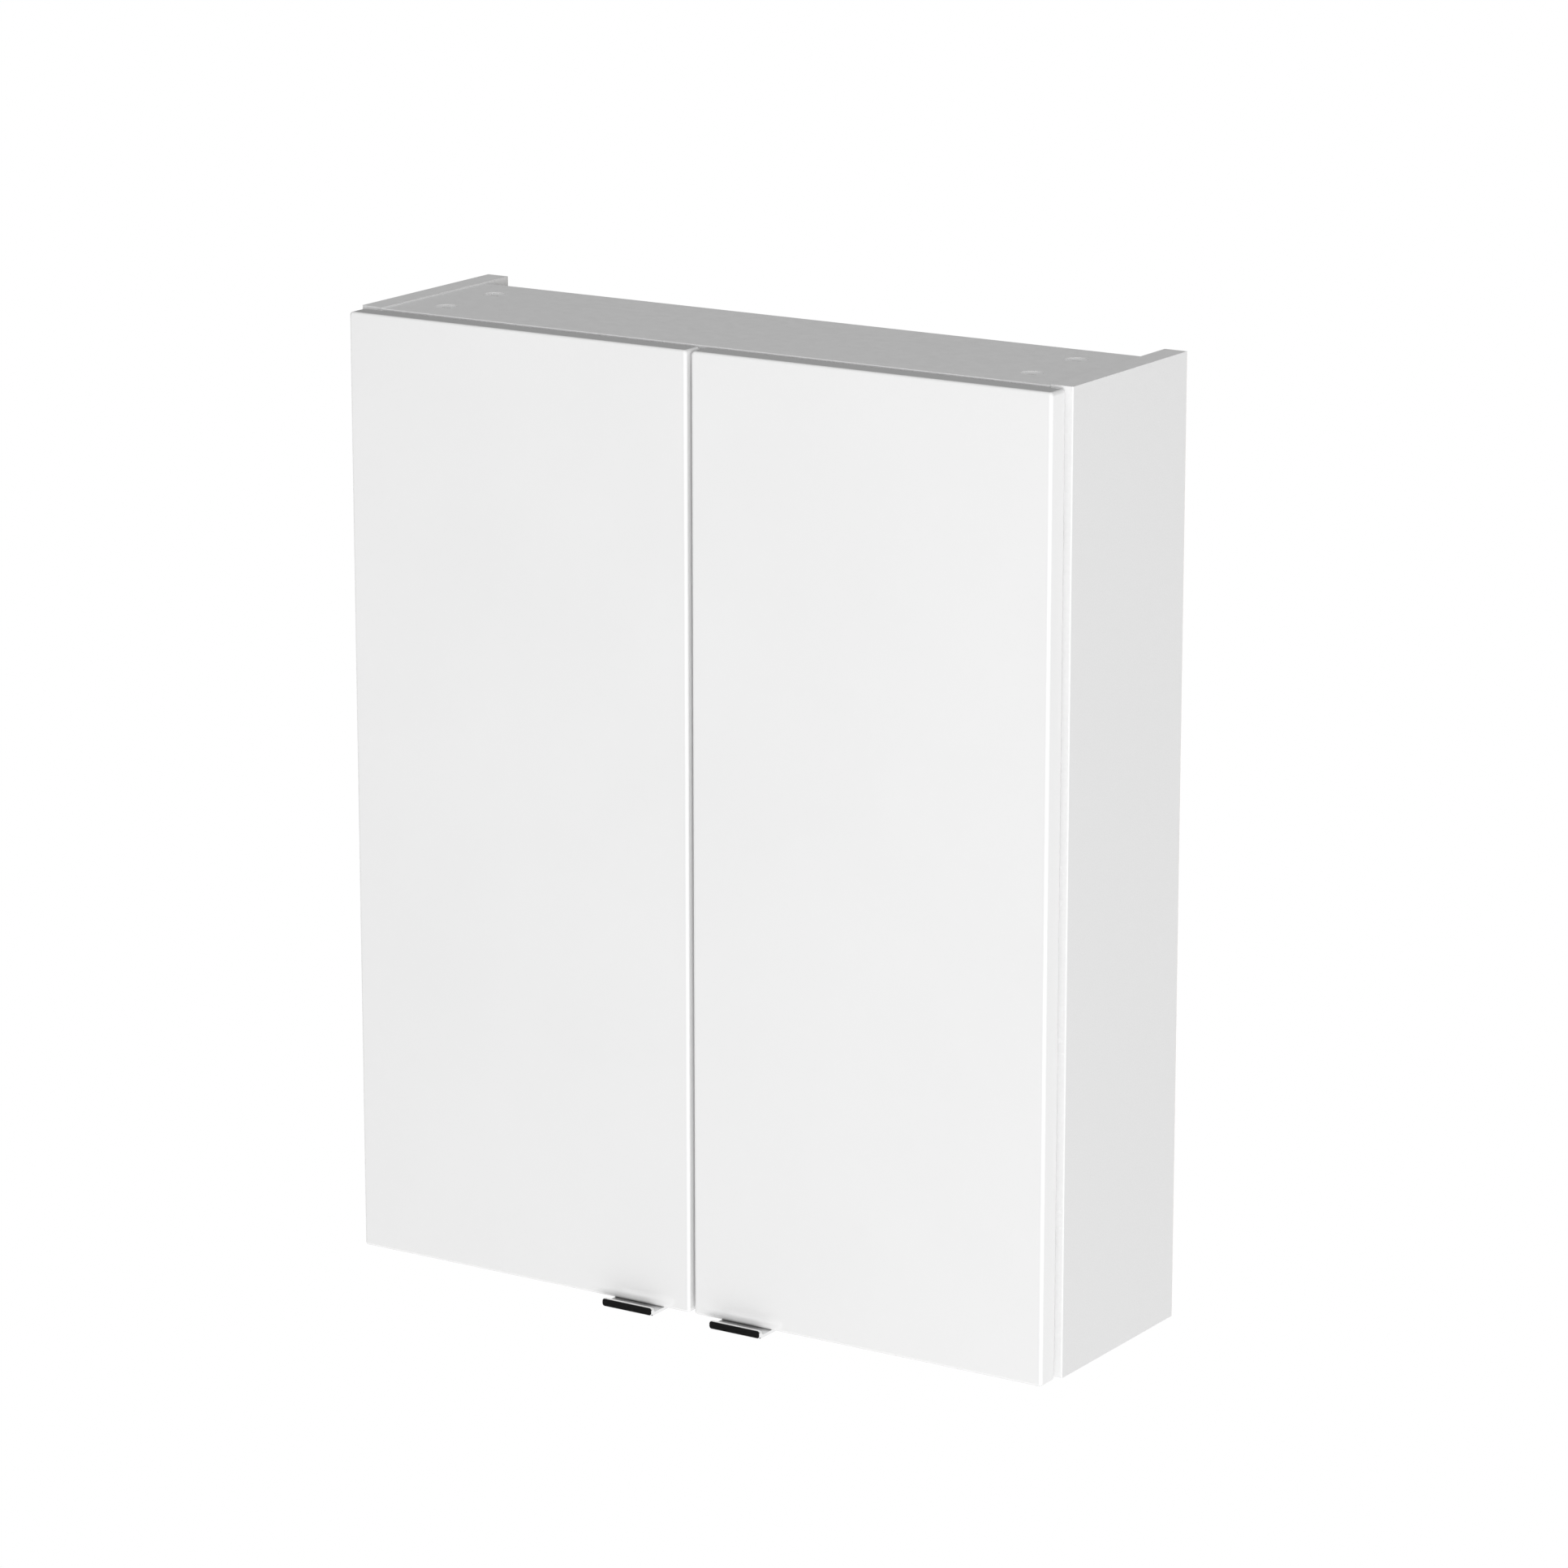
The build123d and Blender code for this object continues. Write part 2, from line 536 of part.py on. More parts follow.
with BuildPart() as hinge_arms_right:
    for hinge_z in HINGE_ZS:
        block(
            (INNER_X - ARM_TOP, INNER_X - 2.8),
            (ARM_FRONT_Y, ARM_REAR_Y),
            (hinge_z - ARM_HALF_WIDTH, hinge_z + ARM_HALF_WIDTH),
        )
        block(
            (INNER_X - ARM_TOP + ARM_SHEET, INNER_X),
            (ARM_FRONT_Y, ARM_REAR_Y),
            (hinge_z - ARM_HALF_WIDTH + ARM_SHEET, hinge_z + ARM_HALF_WIDTH - ARM_SHEET),
            mode=Mode.SUBTRACT,
        )
        with BuildSketch(Plane.XY.offset(hinge_z - NECK_HALF_WIDTH)):
            Polygon(*NECK_OUTLINE, align=None)
            with Locations((PIVOT_X, PIVOT_Y)):
                Circle(EYE_RADIUS)
        extrude(amount=2 * NECK_HALF_WIDTH)
        start = (PIVOT_X, PIVOT_Y, hinge_z - NECK_HALF_WIDTH)
        rod(start, (0, 0, 1), PIVOT_BORE_RADIUS, 2 * NECK_HALF_WIDTH, Mode.SUBTRACT)
        for y in ARM_SCREW_YS:
            start = (INNER_X, y, hinge_z)
            rod(start, (-1, 0, 0), ARM_SCREW_RADIUS, ARM_TOP, Mode.SUBTRACT)
hinge_arms_right.part.label = "hinge_arms_right"
export_step(hinge_arms_right.part, "parts/hinge_arms_right.step")

with BuildPart() as hinge_arms_left:
    mirror(hinge_arms_right.part, about=Plane.YZ)
hinge_arms_left.part.label = "hinge_arms_left"
export_step(hinge_arms_left.part, "parts/hinge_arms_left.step")

with BuildPart() as arm_screws:
    for side in (-1, 1):
        for hinge_z in HINGE_ZS:
            for y in ARM_SCREW_YS:
                seat = (side * (INNER_X - ARM_TOP), y, hinge_z)
                crown = (side * (INNER_X - ARM_TOP - 2.0), y, hinge_z)
                rod(seat, (side, 0, 0), ARM_SCREW_RADIUS, ARM_TOP - 1.5)
                cone(seat, (-side, 0, 0), ARM_SCREW_HEAD, 2.9, 2.0)
                cross_recess(crown, (side, 0, 0), 4.2, 1.0, 1.5)
arm_screws.part.label = "arm_screws"
export_step(arm_screws.part, "parts/arm_screws.step")

# Doors and what they carry ------------------------------------------------------

with BuildPart() as door_right:
    block((DOOR_INNER_X, DOOR_OUTER_X), (DOOR_FRONT_Y, DOOR_REAR_Y), (DOOR_BOTTOM, DOOR_TOP))
    fillet(door_right.edges().filter_by(Axis.Y), DOOR_CORNER)
    fillet(door_right.faces().filter_by(Axis.Y).sort_by(Axis.Y)[0].edges(), DOOR_ROUND)
    fillet(door_right.faces().filter_by(Axis.Y).sort_by(Axis.Y)[-1].edges(), DOOR_REAR_ROUND)
    for hinge_z in HINGE_ZS:
        start = (CUP_X, DOOR_REAR_Y, hinge_z)
        rod(start, (0, -1, 0), CUP_BORE_RADIUS, CUP_BORE_DEPTH, Mode.SUBTRACT)
        for offset in (-CUP_SCREW_Z, CUP_SCREW_Z):
            start = (CUP_SCREW_X, DOOR_REAR_Y, hinge_z + offset)
            rod(start, (0, -1, 0), CUP_SCREW_RADIUS, CUP_SCREW_LENGTH - CUP_FLANGE, Mode.SUBTRACT)
    for offset in (-PULL_SCREW_X, PULL_SCREW_X):
        start = (PULL_CENTRE_X + offset, PULL_SCREW_Y, DOOR_BOTTOM)
        rod(start, (0, 0, 1), PULL_SCREW_RADIUS, PULL_SCREW_LENGTH - PULL_PLATE, Mode.SUBTRACT)
door_right.part.label = "door_right"
export_step(door_right.part, "parts/door_right.step")

with BuildPart() as door_left:
    mirror(door_right.part, about=Plane.YZ)
door_left.part.label = "door_left"
export_step(door_left.part, "parts/door_left.step")

with BuildPart() as hinge_cups_right:
    for hinge_z in HINGE_ZS:
        mouth = (CUP_X, DOOR_REAR_Y, hinge_z)
        rod(mouth, (0, -1, 0), CUP_RADIUS, CUP_DEPTH)
        rod(mouth, (0, 1, 0), CUP_FLANGE_RADIUS, CUP_FLANGE)
        block(
            (CUP_SCREW_X - 5.0, CUP_SCREW_X + 11.0),
            (DOOR_REAR_Y, DOOR_REAR_Y + CUP_FLANGE),
            (hinge_z - CUP_SCREW_Z - 6.0, hinge_z + CUP_SCREW_Z + 6.0),
        )
        rod(
            (CUP_X, DOOR_REAR_Y + CUP_FLANGE, hinge_z),
            (0, -1, 0),
            CUP_RADIUS - CUP_WALL,
            CUP_FLANGE + CUP_DEPTH - CUP_WALL,
            Mode.SUBTRACT,
        )
        for offset in (-CUP_SCREW_Z, CUP_SCREW_Z):
            start = (CUP_SCREW_X, DOOR_REAR_Y, hinge_z + offset)
            rod(start, (0, 1, 0), CUP_SCREW_RADIUS, CUP_FLANGE, Mode.SUBTRACT)
        for lower in (NECK_HALF_WIDTH + 0.4, -NECK_HALF_WIDTH - 3.0):
            block(
                (PIVOT_X - 2.4, PIVOT_X + 1.2),
                (DOOR_REAR_Y - CUP_DEPTH + CUP_WALL / 2, PIVOT_Y + 2.4),
                (hinge_z + lower, hinge_z + lower + 2.6),
            )
        start = (PIVOT_X, PIVOT_Y, hinge_z - PIVOT_PIN_LENGTH / 2)
        rod(start, (0, 0, 1), PIVOT_PIN_RADIUS, PIVOT_PIN_LENGTH, Mode.SUBTRACT)
hinge_cups_right.part.label = "hinge_cups_right"
export_step(hinge_cups_right.part, "parts/hinge_cups_right.step")

with BuildPart() as hinge_cups_left:
    mirror(hinge_cups_right.part, about=Plane.YZ)
hinge_cups_left.part.label = "hinge_cups_left"
export_step(hinge_cups_left.part, "parts/hinge_cups_left.step")

with BuildPart() as hinge_pins_right:
    for hinge_z in HINGE_ZS:
        start = (PIVOT_X, PIVOT_Y, hinge_z - PIVOT_PIN_LENGTH / 2)
        rod(start, (0, 0, 1), PIVOT_PIN_RADIUS, PIVOT_PIN_LENGTH)
hinge_pins_right.part.label = "hinge_pins_right"
export_step(hinge_pins_right.part, "parts/hinge_pins_right.step")

with BuildPart() as hinge_pins_left:
    mirror(hinge_pins_right.part, about=Plane.YZ)
hinge_pins_left.part.label = "hinge_pins_left"
export_step(hinge_pins_left.part, "parts/hinge_pins_left.step")

with BuildPart() as cup_screws_right:
    for hinge_z in HINGE_ZS:
        for offset in (-CUP_SCREW_Z, CUP_SCREW_Z):
            seat = (CUP_SCREW_X, DOOR_REAR_Y + CUP_FLANGE, hinge_z + offset)
            crown = (CUP_SCREW_X, DOOR_REAR_Y + CUP_FLANGE + 1.5, hinge_z + offset)
            rod(seat, (0, -1, 0), CUP_SCREW_RADIUS, CUP_SCREW_LENGTH)
            cone(seat, (0, 1, 0), CUP_SCREW_HEAD, 2.4, 1.5)
            cross_recess(crown, (0, -1, 0), 3.6, 0.9, 1.2)
cup_screws_right.part.label = "cup_screws_right"
export_step(cup_screws_right.part, "parts/cup_screws_right.step")

with BuildPart() as cup_screws_left:
    mirror(cup_screws_right.part, about=Plane.YZ)
cup_screws_left.part.label = "cup_screws_left"
export_step(cup_screws_left.part, "parts/cup_screws_left.step")

with BuildPart() as door_bumpers_right:
    for z in BUMPER_ZS:
        rod((BUMPER_X, DOOR_REAR_Y, z), (0, 1, 0), BUMPER_RADIUS, BUMPER_HEIGHT)
    fillet(door_bumpers_right.faces().filter_by(Axis.Y).sort_by(Axis.Y)[-2:].edges(), 1.8)
door_bumpers_right.part.label = "door_bumpers_right"
export_step(door_bumpers_right.part, "parts/door_bumpers_right.step")

with BuildPart() as door_bumpers_left:
    mirror(door_bumpers_right.part, about=Plane.YZ)
door_bumpers_left.part.label = "door_bumpers_left"
export_step(door_bumpers_left.part, "parts/door_bumpers_left.step")

# Pulls --------------------------------------------------------------------------

PULL_X = (PULL_CENTRE_X - PULL_WIDTH / 2, PULL_CENTRE_X + PULL_WIDTH / 2)

with BuildPart() as handle_right:
    block(PULL_X, (PULL_FRONT_Y, PULL_FRONT_Y + PULL_LIP), (PULL_LIP_BOTTOM, PULL_LIP_TOP))
    fillet(handle_right.edges().filter_by(Axis.Y), PULL_CORNER)
    fillet(handle_right.edges().filter_by(Axis.Z).sort_by(Axis.Y)[:2], PULL_END)
    fillet(handle_right.edges().filter_by(Axis.X).sort_by(Axis.Z)[-2:], 0.6)
    with BuildSketch(Plane.YZ.offset(PULL_X[0] + PULL_INSET)):
        with BuildLine():
            lip_back = PULL_FRONT_Y + PULL_LIP
            Polyline(
                (lip_back, DOOR_BOTTOM + PULL_TROUGH),
                (lip_back - 1.2, DOOR_BOTTOM + PULL_TROUGH),
                (lip_back - 1.2, DOOR_BOTTOM - PULL_PLATE),
                (PULL_REAR_Y, DOOR_BOTTOM - PULL_PLATE),
                (PULL_REAR_Y, DOOR_BOTTOM),
                (lip_back + PULL_TROUGH, DOOR_BOTTOM),
            )
            RadiusArc(
                (lip_back + PULL_TROUGH, DOOR_BOTTOM),
                (lip_back, DOOR_BOTTOM + PULL_TROUGH),
                PULL_TROUGH,
            )
        make_face()
    extrude(amount=PULL_WIDTH - 2 * PULL_INSET)
    for offset in (-PULL_SCREW_X, PULL_SCREW_X):
        start = (PULL_CENTRE_X + offset, PULL_SCREW_Y, DOOR_BOTTOM - PULL_PLATE)
        rod(start, (0, 0, 1), PULL_SCREW_RADIUS, PULL_PLATE, Mode.SUBTRACT)
        cone(start, (0, 0, 1), PULL_SCREW_HEAD, PULL_SCREW_RADIUS, 1.6, Mode.SUBTRACT)
handle_right.part.label = "handle_right"
export_step(handle_right.part, "parts/handle_right.step")

with BuildPart() as handle_left:
    mirror(handle_right.part, about=Plane.YZ)
handle_left.part.label = "handle_left"
export_step(handle_left.part, "parts/handle_left.step")

with BuildPart() as handle_screws_right:
    for offset in (-PULL_SCREW_X, PULL_SCREW_X):
        start = (PULL_CENTRE_X + offset, PULL_SCREW_Y, DOOR_BOTTOM - PULL_PLATE)
        rod(start, (0, 0, 1), PULL_SCREW_RADIUS, PULL_SCREW_LENGTH)
        cone(start, (0, 0, 1), PULL_SCREW_HEAD, PULL_SCREW_RADIUS, 1.6)
        cross_recess(start, (0, 0, 1), 3.4, 0.8, 1.2)
handle_screws_right.part.label = "handle_screws_right"
export_step(handle_screws_right.part, "parts/handle_screws_right.step")

with BuildPart() as handle_screws_left:
    mirror(handle_screws_right.part, about=Plane.YZ)
handle_screws_left.part.label = "handle_screws_left"
export_step(handle_screws_left.part, "parts/handle_screws_left.step")
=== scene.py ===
import json
import math

import bpy
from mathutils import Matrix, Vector


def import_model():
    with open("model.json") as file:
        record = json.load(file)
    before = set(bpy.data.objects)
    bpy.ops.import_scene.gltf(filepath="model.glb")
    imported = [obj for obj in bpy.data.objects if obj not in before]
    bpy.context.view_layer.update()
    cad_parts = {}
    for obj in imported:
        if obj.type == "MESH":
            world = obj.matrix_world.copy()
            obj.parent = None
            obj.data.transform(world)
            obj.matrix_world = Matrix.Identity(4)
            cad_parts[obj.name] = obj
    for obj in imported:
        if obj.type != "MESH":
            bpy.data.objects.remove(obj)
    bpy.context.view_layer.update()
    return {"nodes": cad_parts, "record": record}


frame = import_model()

NODES = frame["nodes"]

# Y in metres: the raw rear end of the boards, and the middle of the thin back panel
BOARD_END_Y = -0.00008
BACK_PANEL_MIDDLE_Y = -0.0353

CHIP_TONES = [
    (0.0, (0.30, 0.20, 0.11)),
    (0.35, (0.52, 0.38, 0.23)),
    (0.75, (0.66, 0.52, 0.34)),
    (1.0, (0.74, 0.62, 0.44)),
]
FIBRE_TONES = [
    (0.3, (0.22, 0.13, 0.07)),
    (0.5, (0.34, 0.21, 0.12)),
    (0.75, (0.47, 0.32, 0.19)),
]


# ---------------------------------------------------------------------------
# Node material helpers


class Mat:
    """A small wrapper that builds one procedural material."""

    def __init__(self, name, colour, roughness, metallic=0.0, **sockets):
        self.mat = bpy.data.materials.new(name)
        self.mat.use_nodes = True
        self.tree = self.mat.node_tree
        self.shader = self.tree.nodes["Principled BSDF"]
        self.set("Base Color", (*colour, 1.0))
        self.set("Roughness", roughness)
        self.set("Metallic", metallic)
        for key, value in sockets.items():
            self.set(key.replace("_", " "), value)
        self.coord = self.node("ShaderNodeTexCoord").outputs["Object"]
        self.height = None

    def set(self, socket, value):
        self.shader.inputs[socket].default_value = value

    def node(self, kind, **props):
        made = self.tree.nodes.new(kind)
        for key, value in props.items():
            setattr(made, key, value)
        return made

    def link(self, a, b):
        self.tree.links.new(a, b)

    def stretched(self, scale):
        """Object coordinates scaled differently along each axis."""
        mapping = self.node("ShaderNodeMapping")
        mapping.inputs["Scale"].default_value = scale
        self.link(self.coord, mapping.inputs["Vector"])
        return mapping.outputs["Vector"]

    def noise(self, scale, detail=3.0, roughness=0.55, vector=None):
        made = self.node("ShaderNodeTexNoise")
        made.inputs["Scale"].default_value = scale
        made.inputs["Detail"].default_value = detail
        made.inputs["Roughness"].default_value = roughness
        self.link(vector or self.coord, made.inputs["Vector"])
        return made.outputs["Fac"]

    def cells(self, scale, vector=None, feature="F1", output="Distance"):
        made = self.node("ShaderNodeTexVoronoi", feature=feature)
        made.inputs["Scale"].default_value = scale
        self.link(vector or self.coord, made.inputs["Vector"])
        return made.outputs[output]

    def ramp(self, fac, stops):
        made = self.node("ShaderNodeValToRGB")
        first, last = stops[0], stops[-1]
        made.color_ramp.elements[0].position = first[0]
        made.color_ramp.elements[0].color = (*first[1], 1.0)
        made.color_ramp.elements[1].position = last[0]
        made.color_ramp.elements[1].color = (*last[1], 1.0)
        for position, colour in stops[1:-1]:
            made.color_ramp.elements.new(position).color = (*colour, 1.0)
        self.link(fac, made.inputs["Fac"])
        return made.outputs["Color"]

    def behind(self, limit):
        """1 where Y is past the limit, 0 in front of it."""
        split = self.node("ShaderNodeSeparateXYZ")
        self.link(self.coord, split.inputs["Vector"])
        test = self.node("ShaderNodeMath", operation="GREATER_THAN")
        test.inputs[1].default_value = limit
        self.link(split.outputs["Y"], test.inputs[0])
        return test.outputs[0]

    def colour(self, fac, stops):
        self.link(self.ramp(fac, stops), self.shader.inputs["Base Color"])

    def mapped(self, fac, low, high, start=0.3, end=0.7):
        made = self.node("ShaderNodeMapRange")
        made.inputs["From Min"].default_value = start
        made.inputs["From Max"].default_value = end
        made.inputs["To Min"].default_value = low
        made.inputs["To Max"].default_value = high
        self.link(fac, made.inputs["Value"])
        return made.outputs["Result"]

    def rough(self, fac, low, high, start=0.3, end=0.7):
        self.link(self.mapped(fac, low, high, start, end), self.shader.inputs["Roughness"])

    def bump(self, fac, strength, distance):
        """Adds one more layer of fine relief on top of what is there."""
        made = self.node("ShaderNodeBump")
        made.inputs["Strength"].default_value = strength
        made.inputs["Distance"].default_value = distance
        self.link(fac, made.inputs["Height"])
        if self.height is not None:
            self.link(self.height, made.inputs["Normal"])
        self.height = made.outputs["Normal"]
        self.link(self.height, self.shader.inputs["Normal"])

    def mix(self, fac, a, b):
        made = self.node("ShaderNodeMix", data_type="RGBA")
        self.link(fac, made.inputs[0])
        self.link(a, made.inputs[6])
        self.link(b, made.inputs[7])
        return made.outputs[2]


def grey(value):
    return (value, value, value)


# ---------------------------------------------------------------------------
# Materials


def lacquer():
    m = Mat("gloss_lacquer", grey(0.86), 0.09, Coat_Weight=1.0, Coat_Roughness=0.03)
    m.colour(m.noise(9.0, 4.0), [(0.3, grey(0.855)), (0.7, grey(0.868))])
    m.rough(m.noise(60.0, 5.0), 0.07, 0.13)
    m.bump(m.noise(420.0, 2.0), 0.10, 0.00004)
    m.bump(m.noise(55.0, 2.0), 0.08, 0.0002)
    return m.mat


def chip_colour(m):
    """Flaked chipboard core, seen on raw board ends."""
    flakes = m.cells(520.0, m.stretched((1.0, 1.0, 0.45)), output="Color")
    split = m.node("ShaderNodeSeparateColor")
    m.link(flakes, split.inputs["Color"])
    return m.ramp(split.outputs["Red"], CHIP_TONES), split.outputs["Green"]


def melamine():
    """White melamine skin with a fine pearl; the end that faces the wall is raw board."""
    m = Mat("melamine", grey(0.80), 0.34)
    speckle = m.noise(900.0, 2.0)
    skin = m.ramp(speckle, [(0.35, grey(0.79)), (0.65, grey(0.815))])
    m.rough(m.noise(140.0, 4.0), 0.30, 0.42)
    core, core_relief = chip_colour(m)
    at_rear = m.behind(BOARD_END_Y)
    m.link(m.mix(at_rear, skin, core), m.shader.inputs["Base Color"])
    m.bump(m.cells(1300.0, feature="SMOOTH_F1"), 0.16, 0.00005)
    rough_end = m.node("ShaderNodeMath", operation="MULTIPLY")
    m.link(at_rear, rough_end.inputs[0])
    m.link(core_relief, rough_end.inputs[1])
    m.bump(rough_end.outputs[0], 0.5, 0.0004)
    return m.mat


def edging():
    m = Mat("edging", grey(0.86), 0.22)
    m.colour(m.noise(300.0, 3.0), [(0.35, grey(0.85)), (0.65, grey(0.87))])
    m.rough(m.noise(90.0, 4.0), 0.18, 0.28)
    m.bump(m.noise(700.0, 2.0), 0.12, 0.00005)
    return m.mat


def backing():
    """Hardboard: white on the room side, brown fibre on the wall side."""
    m = Mat("hardboard", grey(0.78), 0.5)
    fibre = m.noise(420.0, 6.0, 0.7, m.stretched((1.0, 1.0, 0.35)))
    brown = m.ramp(fibre, FIBRE_TONES)
    white = m.ramp(m.noise(500.0, 3.0), [(0.35, grey(0.77)), (0.65, grey(0.80))])
    on_wall_side = m.behind(BACK_PANEL_MIDDLE_Y)
    m.link(m.mix(on_wall_side, white, brown), m.shader.inputs["Base Color"])
    m.rough(fibre, 0.45, 0.68)
    m.bump(fibre, 0.25, 0.0001)
    return m.mat


def metal(name, tone, roughness, spread, grain=(1.0, 1.0, 1.0), scale=900.0, relief=0.1):
    m = Mat(name, tone, roughness, metallic=1.0)
    grainy = m.noise(scale, 4.0, 0.6, m.stretched(grain))
    dark = tuple(c * 0.93 for c in tone)
    light = tuple(min(1.0, c * 1.05) for c in tone)
    m.colour(grainy, [(0.3, dark), (0.7, light)])
    m.rough(grainy, roughness - spread, roughness + spread)
    m.bump(grainy, relief, 0.00004)
    return m.mat


def chrome():
    m = Mat("polished_chrome", grey(0.86), 0.045, metallic=1.0)
    cloud = m.noise(120.0, 5.0, 0.6)
    m.colour(cloud, [(0.3, (0.83, 0.83, 0.835)), (0.7, (0.88, 0.88, 0.88))])
    m.rough(cloud, 0.03, 0.07)
    m.bump(m.noise(600.0, 2.0), 0.04, 0.00003)
    return m.mat


def spangle():
    """Bright zinc plate with faint crystal patches."""
    m = Mat("zinc_plate", (0.66, 0.68, 0.70), 0.3, metallic=1.0)
    patch = m.cells(160.0, output="Color")
    split = m.node("ShaderNodeSeparateColor")
    m.link(patch, split.inputs["Color"])
    m.colour(split.outputs["Red"], [(0.0, (0.60, 0.62, 0.65)), (1.0, (0.73, 0.75, 0.77))])
    m.rough(split.outputs["Green"], 0.24, 0.40, 0.0, 1.0)
    m.bump(m.noise(800.0, 3.0), 0.12, 0.00005)
    return m.mat


def beech():
    m = Mat("raw_beech", (0.62, 0.45, 0.28), 0.6)
    grain = m.noise(700.0, 5.0, 0.6, m.stretched((0.08, 1.0, 1.0)))
    m.colour(grain, [(0.3, (0.50, 0.34, 0.20)), (0.7, (0.70, 0.53, 0.35))])
    m.rough(grain, 0.52, 0.7)
    m.bump(grain, 0.3, 0.0001)
    return m.mat


def moulded(name, tone, roughness, relief):
    m = Mat(name, tone, roughness)
    m.colour(m.noise(900.0, 3.0), [(0.3, tuple(c * 0.985 for c in tone)), (0.7, tone)])
    m.rough(m.noise(700.0, 3.0), roughness - 0.04, roughness + 0.05)
    m.bump(m.noise(1500.0, 2.0), relief, 0.00006)
    return m.mat


def soft_clear():
    m = Mat("soft_clear", (0.86, 0.87, 0.86), 0.22, IOR=1.47, Transmission_Weight=0.55)
    m.colour(m.noise(300.0, 3.0), [(0.3, (0.82, 0.83, 0.82)), (0.7, (0.88, 0.89, 0.88))])
    m.rough(m.noise(500.0, 3.0), 0.17, 0.3)
    m.bump(m.noise(900.0, 2.0), 0.1, 0.00005)
    return m.mat


SLOT_MATERIALS = {
    "lacquer_white": lacquer(),
    "melamine_white": melamine(),
    "backing_board": backing(),
    "edging_white": edging(),
    "pull_chrome": chrome(),
    "hinge_steel": metal("nickel_plate", (0.66, 0.65, 0.63), 0.24, 0.06, (1.0, 0.15, 1.0)),
    "pin_steel": metal("pin_nickel", (0.68, 0.67, 0.65), 0.2, 0.05),
    "cam_zinc": moulded("painted_zinc", grey(0.80), 0.45, 0.2),
    "screw_steel": metal("zinc_screws", (0.68, 0.69, 0.70), 0.26, 0.07),
    "dowel_beech": beech(),
    "hanger_plastic": moulded("hanger_plastic", grey(0.78), 0.45, 0.25),
    "cover_plastic": moulded("cover_plastic", grey(0.83), 0.26, 0.10),
    "bumper_rubber": soft_clear(),
    "plate_zinc_steel": spangle(),
}

for row in frame["record"]["subparts"]:
    node = NODES[row["node"]]
    for slot in node.material_slots:
        slot.material = SLOT_MATERIALS[row["material_slot"]]


# ---------------------------------------------------------------------------
# Stage: floor, room, dark card, lamps and camera. Places are in metres.

FLOOR_Z = -4.5
FLOOR_HALF = 60.0
ROOM_LIGHT = 0.50
ROOM_REFLECTION = 0.12
FLAG_CORNERS = [(-3.2, -1.6, -2.04), (0.1, -2.4, -2.04), (0.1, -2.4, 0.6), (-3.2, -1.6, 0.6)]
FLAG_TONE = 0.028

AIM = (0.0, -0.1, -0.28)
KEY_PLACE = (6.05, -8.05, -0.2)
KEY_SIZE = (4.8, 3.6)
KEY_WATTS = 712.0
OVERHEAD_PLACE = (0.0, -0.1, 3.2)
OVERHEAD_SIZE = (2.0, 2.0)
OVERHEAD_WATTS = 17.0

CAMERA_PLACE = (2.38777, -3.80015, 0.86704)
CAMERA_AZIMUTH = math.radians(32.53)
CAMERA_TILT = math.radians(14.30)
CAMERA_LENS = 143.35
CAMERA_SENSOR = 36.0
CAMERA_CLIP = (0.05, 100.0)


def light_path_mix(tree, plain, seen, output):
    """Shows one shader to diffuse rays and another to the camera and in reflections."""
    path = tree.nodes.new("ShaderNodeLightPath")
    either = tree.nodes.new("ShaderNodeMath")
    either.operation = "MAXIMUM"
    mix = tree.nodes.new("ShaderNodeMixShader")
    tree.links.new(path.outputs["Is Camera Ray"], either.inputs[0])
    tree.links.new(path.outputs["Is Glossy Ray"], either.inputs[1])
    tree.links.new(either.outputs[0], mix.inputs[0])
    tree.links.new(plain, mix.inputs[1])
    tree.links.new(seen, mix.inputs[2])
    tree.links.new(mix.outputs[0], output)
    return path


def flat_card(name, corners, material):
    mesh = bpy.data.meshes.new(name)
    mesh.from_pydata(corners, [], [(0, 1, 2, 3)])
    mesh.materials.append(material)
    card = bpy.data.objects.new(name, mesh)
    bpy.context.collection.objects.link(card)
    return card


def studio_floor():
    """Floor that looks white, lights like pale paint, and is clear from below."""
    made = bpy.data.materials.new("pale_floor")
    made.use_nodes = True
    nodes, links = made.node_tree.nodes, made.node_tree.links
    paint = nodes["Principled BSDF"]
    paint.inputs["Base Color"].default_value = (0.8, 0.8, 0.8, 1.0)
    paint.inputs["Roughness"].default_value = 0.9
    glow = nodes.new("ShaderNodeEmission")
    glow.inputs["Strength"].default_value = 1.0
    side = nodes.new("ShaderNodeNewGeometry")
    clear = nodes.new("ShaderNodeBsdfTransparent")
    one_way = nodes.new("ShaderNodeMixShader")
    links.new(side.outputs["Backfacing"], one_way.inputs[0])
    light_path_mix(made.node_tree, paint.outputs[0], glow.outputs[0], one_way.inputs[1])
    links.new(clear.outputs[0], one_way.inputs[2])
    links.new(one_way.outputs[0], nodes["Material Output"].inputs["Surface"])
    half = FLOOR_HALF
    corners = [(x, y, FLOOR_Z) for x, y in ((-half, -half), (half, -half), (half, half), (-half, half))]
    flat_card("studio_floor", corners, made)


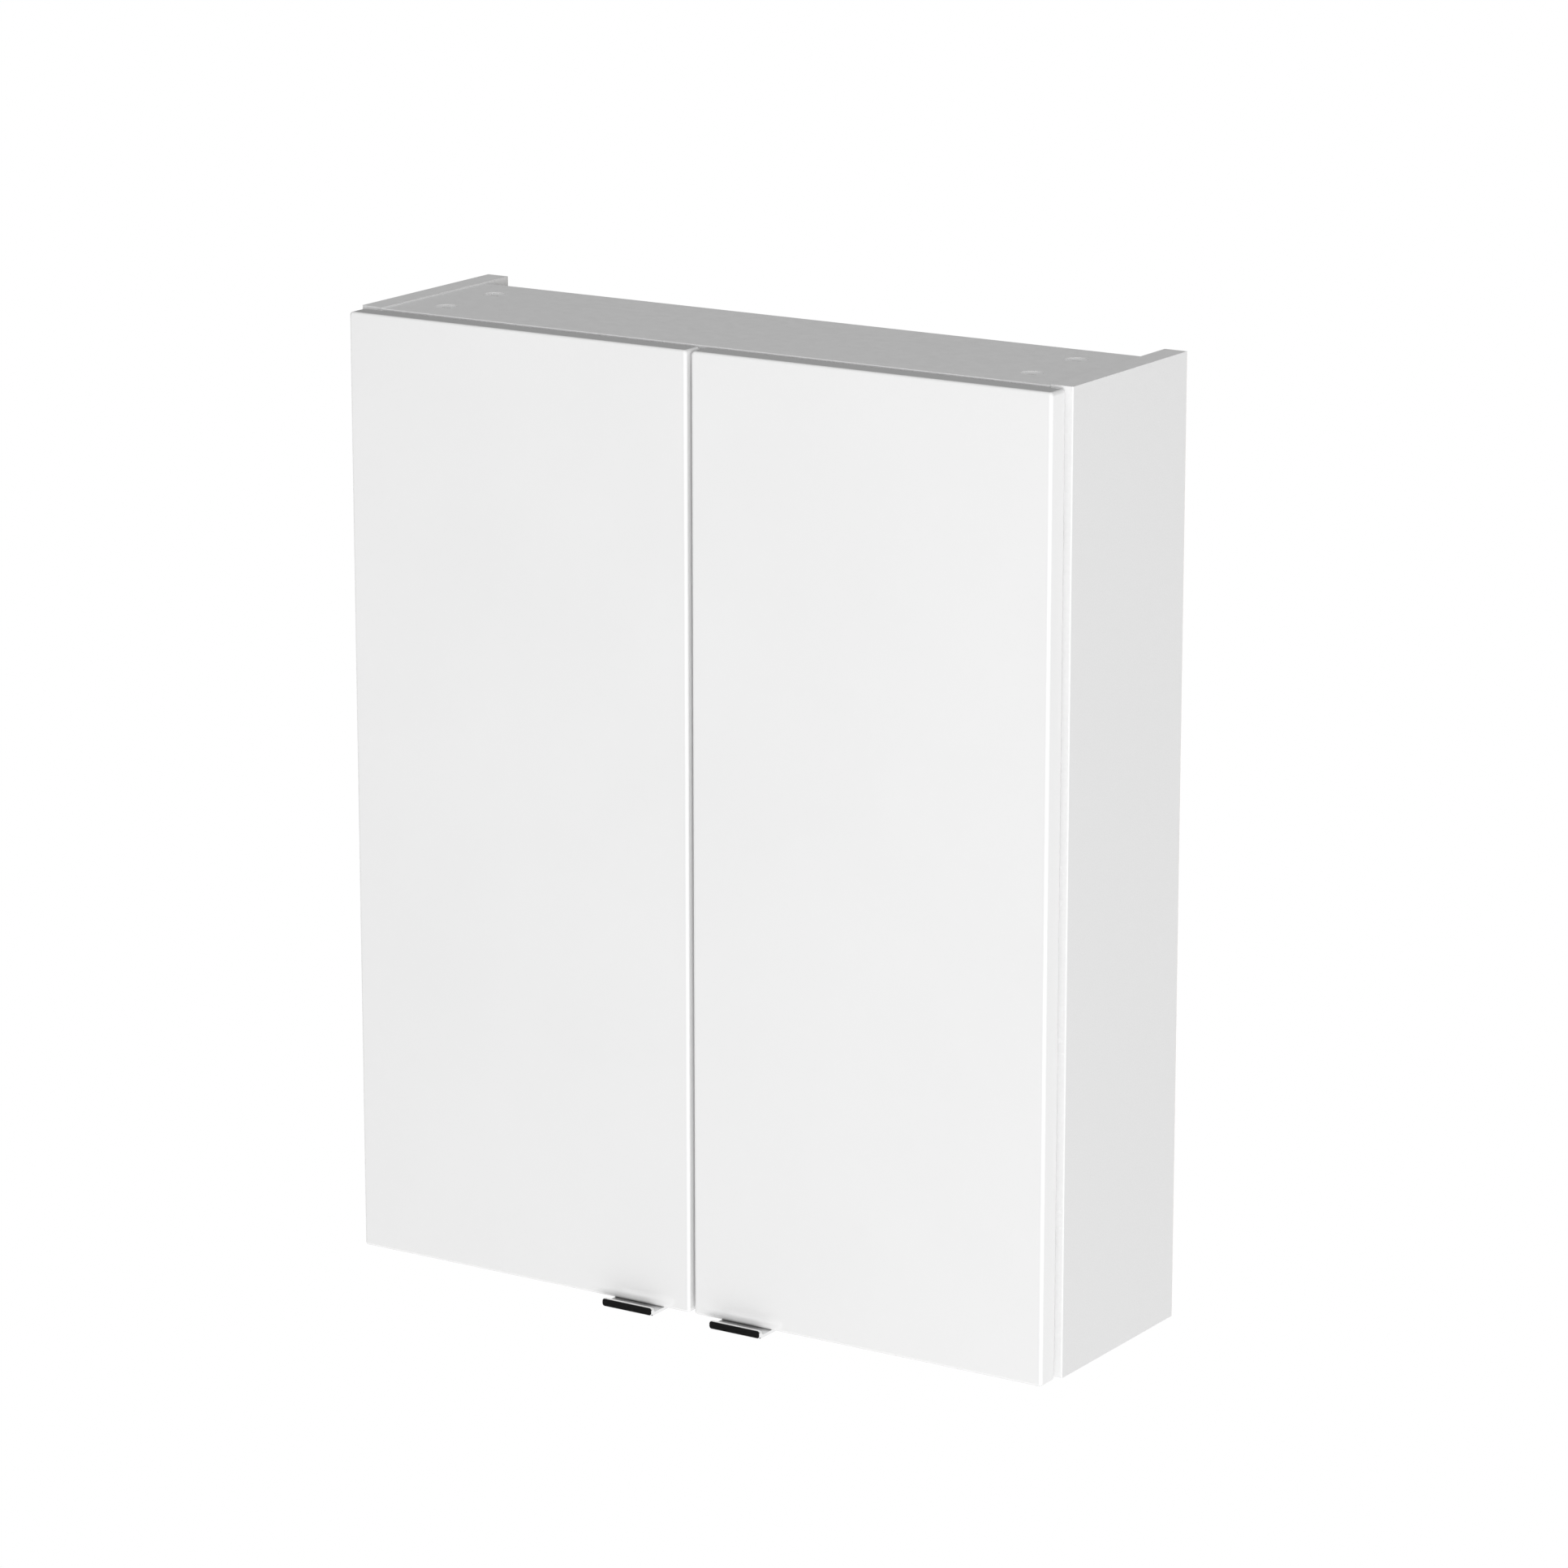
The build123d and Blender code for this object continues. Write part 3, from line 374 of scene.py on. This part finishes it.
def world():
    """White behind the cabinet; an even room for light and a darker one in reflections."""
    made = bpy.data.worlds.new("studio")
    bpy.context.scene.world = made
    made.use_nodes = True
    tree = made.node_tree
    room = tree.nodes["Background"]
    room.inputs["Color"].default_value = (1.0, 1.0, 1.0, 1.0)
    room.inputs["Strength"].default_value = ROOM_LIGHT
    seen = tree.nodes.new("ShaderNodeBackground")
    seen.inputs["Color"].default_value = (1.0, 1.0, 1.0, 1.0)
    surface = tree.nodes["World Output"].inputs["Surface"]
    path = light_path_mix(tree, room.outputs[0], seen.outputs[0], surface)
    level = tree.nodes.new("ShaderNodeMapRange")
    level.inputs["To Min"].default_value = ROOM_REFLECTION
    level.inputs["To Max"].default_value = 1.0
    tree.links.new(path.outputs["Is Camera Ray"], level.inputs["Value"])
    tree.links.new(level.outputs["Result"], seen.inputs["Strength"])


def dark_flag():
    """Black card in front and to the left, seen only in reflections."""
    made = bpy.data.materials.new("flag_black")
    made.use_nodes = True
    cloth = made.node_tree.nodes["Principled BSDF"]
    cloth.inputs["Base Color"].default_value = (*grey(FLAG_TONE), 1.0)
    cloth.inputs["Roughness"].default_value = 1.0
    cloth.inputs["Specular IOR Level"].default_value = 0.0
    card = flat_card("dark_flag", FLAG_CORNERS, made)
    card.visible_camera = False
    card.visible_diffuse = False
    card.visible_transmission = False
    card.visible_shadow = False


def softbox(name, place, size, watts):
    """Lamp pointed at the cabinet, which shows neither itself nor its reflection."""
    data = bpy.data.lights.new(name, "AREA")
    data.shape = "RECTANGLE"
    data.size, data.size_y = size
    data.energy = watts
    lamp = bpy.data.objects.new(name, data)
    bpy.context.collection.objects.link(lamp)
    lamp.location = place
    direction = Vector(AIM) - Vector(place)
    lamp.rotation_euler = direction.to_track_quat("-Z", "Y").to_euler()
    lamp.visible_camera = False
    lamp.visible_glossy = False


def camera():
    data = bpy.data.cameras.new("camera")
    data.sensor_width = CAMERA_SENSOR
    data.lens = CAMERA_LENS
    data.clip_start, data.clip_end = CAMERA_CLIP
    made = bpy.data.objects.new("camera", data)
    bpy.context.collection.objects.link(made)
    made.location = CAMERA_PLACE
    direction = Vector((
        -math.sin(CAMERA_AZIMUTH) * math.cos(CAMERA_TILT),
        math.cos(CAMERA_AZIMUTH) * math.cos(CAMERA_TILT),
        -math.sin(CAMERA_TILT),
    ))
    made.rotation_euler = direction.to_track_quat("-Z", "Y").to_euler()
    bpy.context.scene.camera = made


studio_floor()
world()
dark_flag()
softbox("key_light", KEY_PLACE, KEY_SIZE, KEY_WATTS)
softbox("overhead_light", OVERHEAD_PLACE, OVERHEAD_SIZE, OVERHEAD_WATTS)
camera()

bpy.context.scene.view_settings.view_transform = "Standard"
bpy.context.scene.view_settings.look = "None"
